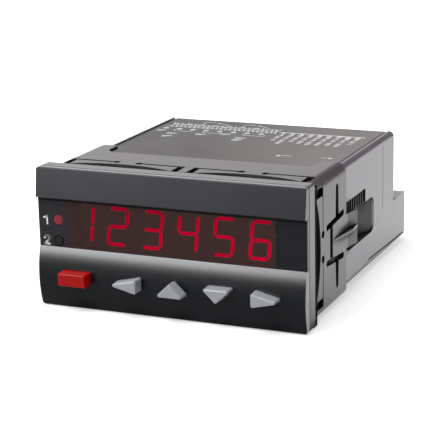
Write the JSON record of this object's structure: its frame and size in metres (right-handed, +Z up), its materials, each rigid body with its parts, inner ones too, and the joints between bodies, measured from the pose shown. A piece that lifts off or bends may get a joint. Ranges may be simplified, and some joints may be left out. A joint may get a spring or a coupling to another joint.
{
  "type": "pulse counter",
  "caption": "Panel-mounted electronic pulse counter: digit display behind a smoked window, push keys below, slim housing with a sliding clamp frame and rear plug terminals.",
  "frame": {"origin": "centre of the panel seat, the rear face of the seal behind the bezel", "axes": "+X to the right seen from the front, +Y from the front to the rear, +Z up"},
  "size_m": [0.0978, 0.1216, 0.0483],
  "materials": {
    "housing_grey": "fine matte moulding",
    "bezel_grey": "fine matte moulding",
    "frame_grey": "fine matte moulding",
    "label_grey": "matte printed film",
    "seal_rubber": "soft black rubber",
    "fascia_black": "satin moulding",
    "smoked_window": "smoked filter",
    "red_key_plastic": "satin moulding",
    "grey_key_plastic": "satin moulding",
    "board_green": "solder resist",
    "module_black": "matte face",
    "segment_lit": "lit epoxy",
    "segment_dark": "unlit epoxy",
    "lamp_lit": "lit epoxy",
    "lamp_dark": "unlit epoxy",
    "switch_black": "moulded",
    "plunger_white": "moulded",
    "relay_plastic": "moulded case",
    "core_yellow": "taped winding and core",
    "capacitor_sleeve": "shrink sleeve",
    "terminal_green": "moulded",
    "screw_steel": "plated"
  },
  "bodies": {
    "counter": {"housing": "housing_grey", "rear_cover": "housing_grey", "top_label": "label_grey", "front_bezel": "bezel_grey", "panel_gasket": "seal_rubber", "fascia": "fascia_black", "display_window": "smoked_window", "display_board": "board_green", "digit_module_1": "module_black", "digit_module_2": "module_black", "digit_module_3": "module_black", "digit_module_4": "module_black", "digit_module_5": "module_black", "digit_module_6": "module_black", "lit_segments": "segment_lit", "dark_segments": "segment_dark", "status_led_1": "lamp_lit", "status_led_2": "lamp_dark", "key_switch_1": "switch_black", "key_switch_2": "switch_black", "key_switch_3": "switch_black", "key_switch_4": "switch_black", "key_switch_5": "switch_black", "main_board": "board_green", "board_link": "switch_black", "processor": "switch_black", "relay_1": "relay_plastic", "relay_2": "relay_plastic", "transformer": "core_yellow", "smoothing_capacitor": "capacitor_sleeve", "supply_header": "terminal_green", "signal_header": "terminal_green"},
    "red_key": {"red_key": "red_key_plastic", "switch_plunger_1": "plunger_white"},
    "left_key": {"left_key": "grey_key_plastic", "switch_plunger_2": "plunger_white"},
    "up_key": {"up_key": "grey_key_plastic", "switch_plunger_3": "plunger_white"},
    "down_key": {"down_key": "grey_key_plastic", "switch_plunger_4": "plunger_white"},
    "right_key": {"right_key": "grey_key_plastic", "switch_plunger_5": "plunger_white"},
    "clamp": {"clamp_frame": "frame_grey"},
    "supply_plug": {"supply_plug": "terminal_green", "supply_plug_screws": "screw_steel"},
    "signal_plug": {"signal_plug": "terminal_green", "signal_plug_screws": "screw_steel"}
  },
  "joints": [
    {"name": "red_key_press", "type": "slide", "parent": "counter", "child": "red_key", "axis": [0, 1, 0], "range_m": [0, 0.0008], "stiffness_N_per_m": 1500, "springref_m": -0.0004},
    {"name": "left_key_press", "type": "slide", "parent": "counter", "child": "left_key", "axis": [0, 1, 0], "range_m": [0, 0.0008], "stiffness_N_per_m": 1500, "springref_m": -0.0004},
    {"name": "up_key_press", "type": "slide", "parent": "counter", "child": "up_key", "axis": [0, 1, 0], "range_m": [0, 0.0008], "stiffness_N_per_m": 1500, "springref_m": -0.0004},
    {"name": "down_key_press", "type": "slide", "parent": "counter", "child": "down_key", "axis": [0, 1, 0], "range_m": [0, 0.0008], "stiffness_N_per_m": 1500, "springref_m": -0.0004},
    {"name": "right_key_press", "type": "slide", "parent": "counter", "child": "right_key", "axis": [0, 1, 0], "range_m": [0, 0.0008], "stiffness_N_per_m": 1500, "springref_m": -0.0004},
    {"name": "clamp_slide", "type": "slide", "parent": "counter", "child": "clamp", "axis": [0, 1, 0], "range_m": [0, 0.1]},
    {"name": "supply_plug_pull", "type": "slide", "parent": "counter", "child": "supply_plug", "axis": [0, 1, 0], "range_m": [0, 0.03]},
    {"name": "signal_plug_pull", "type": "slide", "parent": "counter", "child": "signal_plug", "axis": [0, 1, 0], "range_m": [0, 0.03]}
  ]
}
